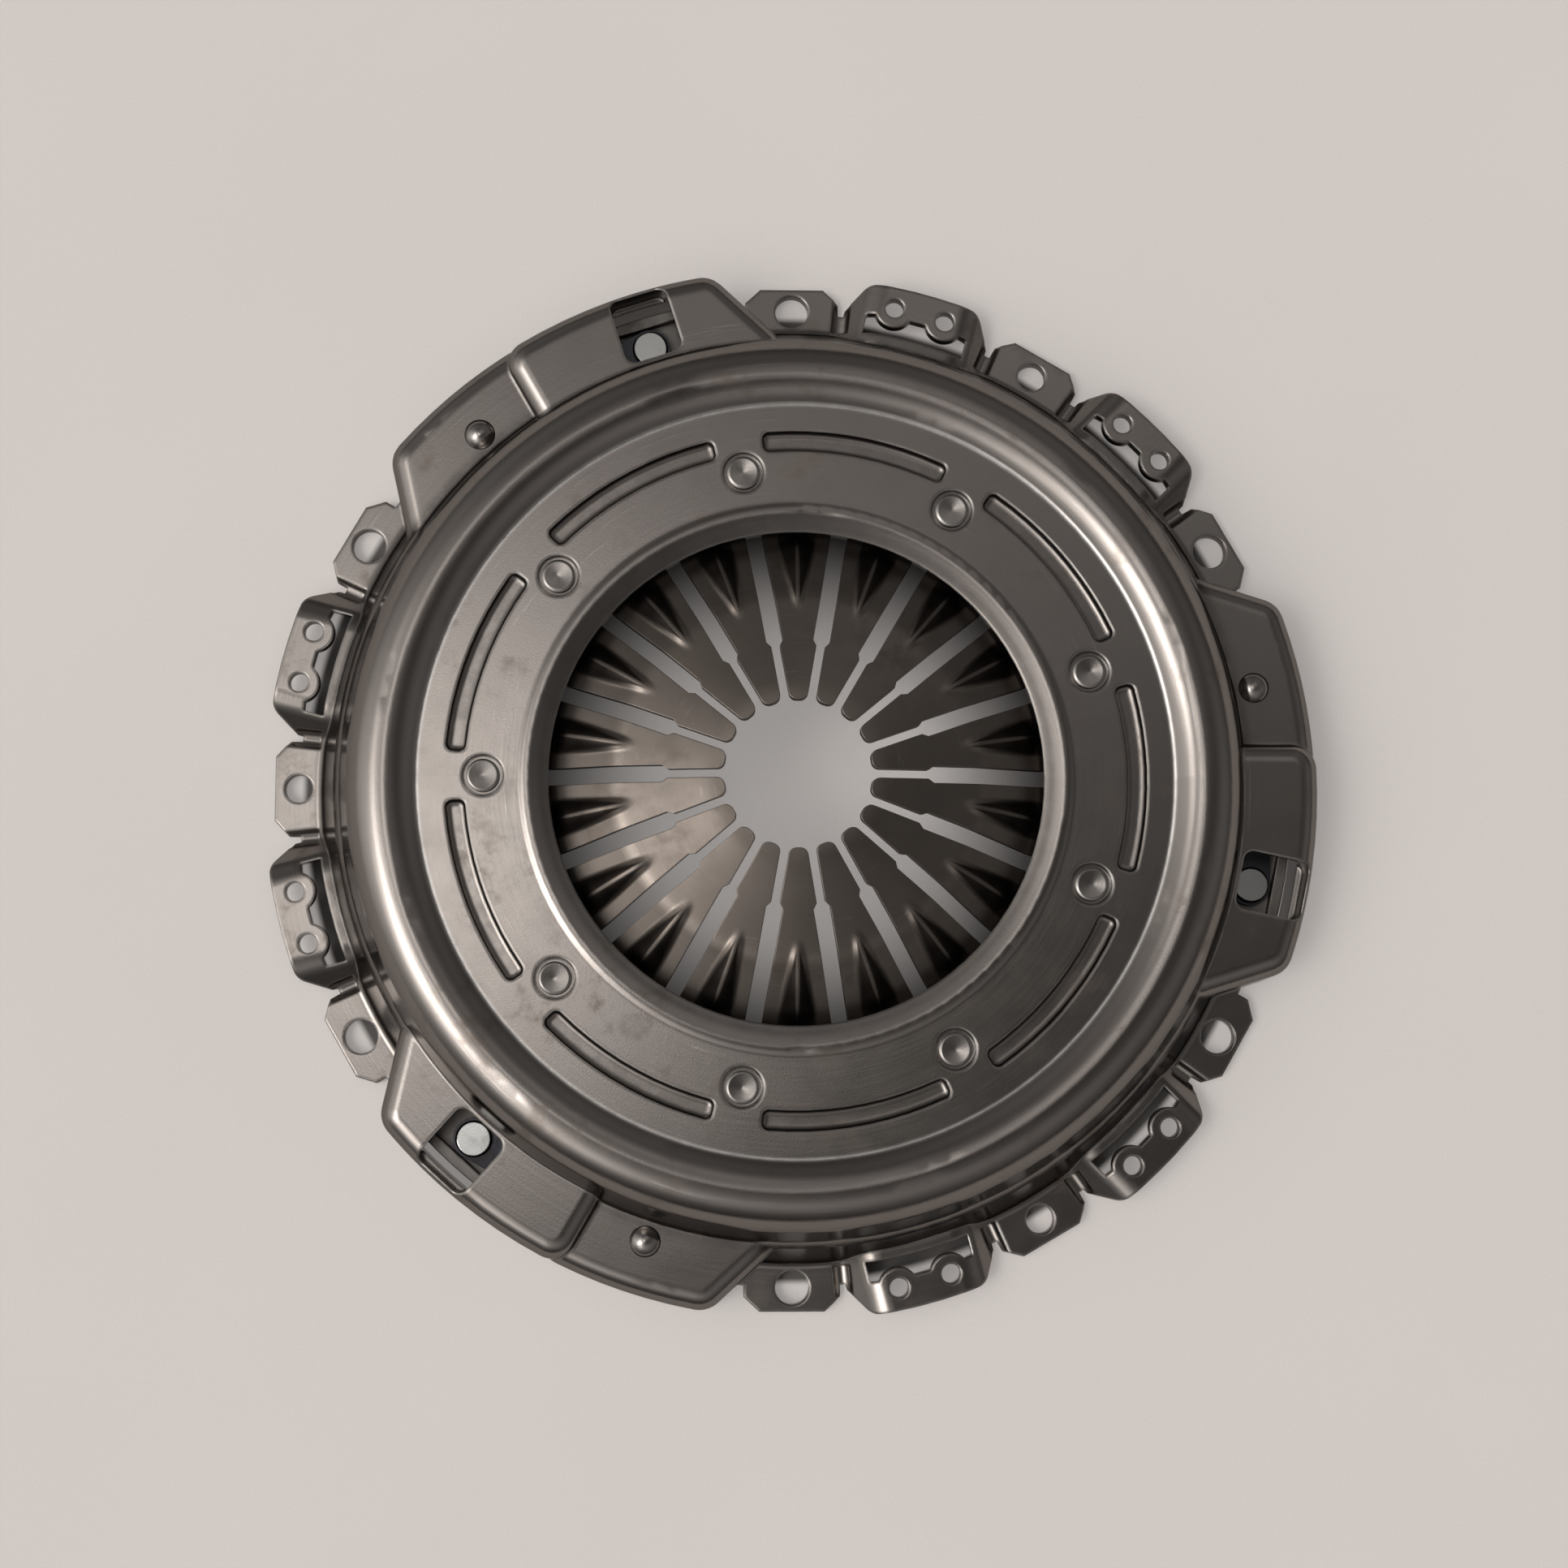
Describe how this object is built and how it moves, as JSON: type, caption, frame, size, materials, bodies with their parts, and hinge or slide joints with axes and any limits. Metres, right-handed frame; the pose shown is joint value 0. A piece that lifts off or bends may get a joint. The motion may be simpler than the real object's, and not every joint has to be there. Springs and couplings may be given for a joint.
{
  "type": "clutch pressure plate",
  "caption": "Clutch cover assembly: pressed steel cover with a slotted diaphragm spring, riveted fulcrum, tangential drive straps and a cast pressure plate that lifts.",
  "frame": {"origin": "centre of the cover's bolting face, where it meets the flywheel", "axes": "+Z along the clutch axis towards the release bearing, +X through the middle of the first strap pad"},
  "size_m": [0.2676, 0.2664, 0.0466],
  "materials": {
    "cover_steel": "oiled pressed sheet steel",
    "spring_steel": "shot-peened, tempered spring steel",
    "wire_steel": "drawn wire",
    "rivet_steel": "phosphated rivet steel",
    "cast_iron": "cast, with a ground friction face",
    "blued_steel": "blued spring strip",
    "zinc_steel": "bright zinc plate"
  },
  "bodies": {
    "cover_assembly": {"cover": "cover_steel", "diaphragm_spring": "spring_steel", "fulcrum_ring": "wire_steel", "fulcrum_rivet_1": "rivet_steel", "fulcrum_rivet_2": "rivet_steel", "fulcrum_rivet_3": "rivet_steel", "fulcrum_rivet_4": "rivet_steel", "fulcrum_rivet_5": "rivet_steel", "fulcrum_rivet_6": "rivet_steel", "fulcrum_rivet_7": "rivet_steel", "fulcrum_rivet_8": "rivet_steel", "fulcrum_rivet_9": "rivet_steel", "strap_1_leaf_1": "blued_steel", "strap_1_leaf_2": "blued_steel", "strap_1_leaf_3": "blued_steel", "strap_2_leaf_1": "blued_steel", "strap_2_leaf_2": "blued_steel", "strap_2_leaf_3": "blued_steel", "strap_3_leaf_1": "blued_steel", "strap_3_leaf_2": "blued_steel", "strap_3_leaf_3": "blued_steel", "strap_cover_rivet_1": "rivet_steel", "strap_cover_rivet_2": "rivet_steel", "strap_cover_rivet_3": "rivet_steel"},
    "lifting_plate": {"pressure_plate": "cast_iron", "strap_plate_rivet_1": "zinc_steel", "strap_plate_rivet_2": "zinc_steel", "strap_plate_rivet_3": "zinc_steel"}
  },
  "joints": [
    {"name": "plate_lift", "type": "slide", "parent": "cover_assembly", "child": "lifting_plate", "axis": [0, 0, 1], "range_m": [0, 0.0045], "deforming": ["diaphragm_spring", "strap_1_leaf_1", "strap_1_leaf_2", "strap_1_leaf_3", "strap_2_leaf_1", "strap_2_leaf_2", "strap_2_leaf_3", "strap_3_leaf_1", "strap_3_leaf_2", "strap_3_leaf_3"]}
  ]
}
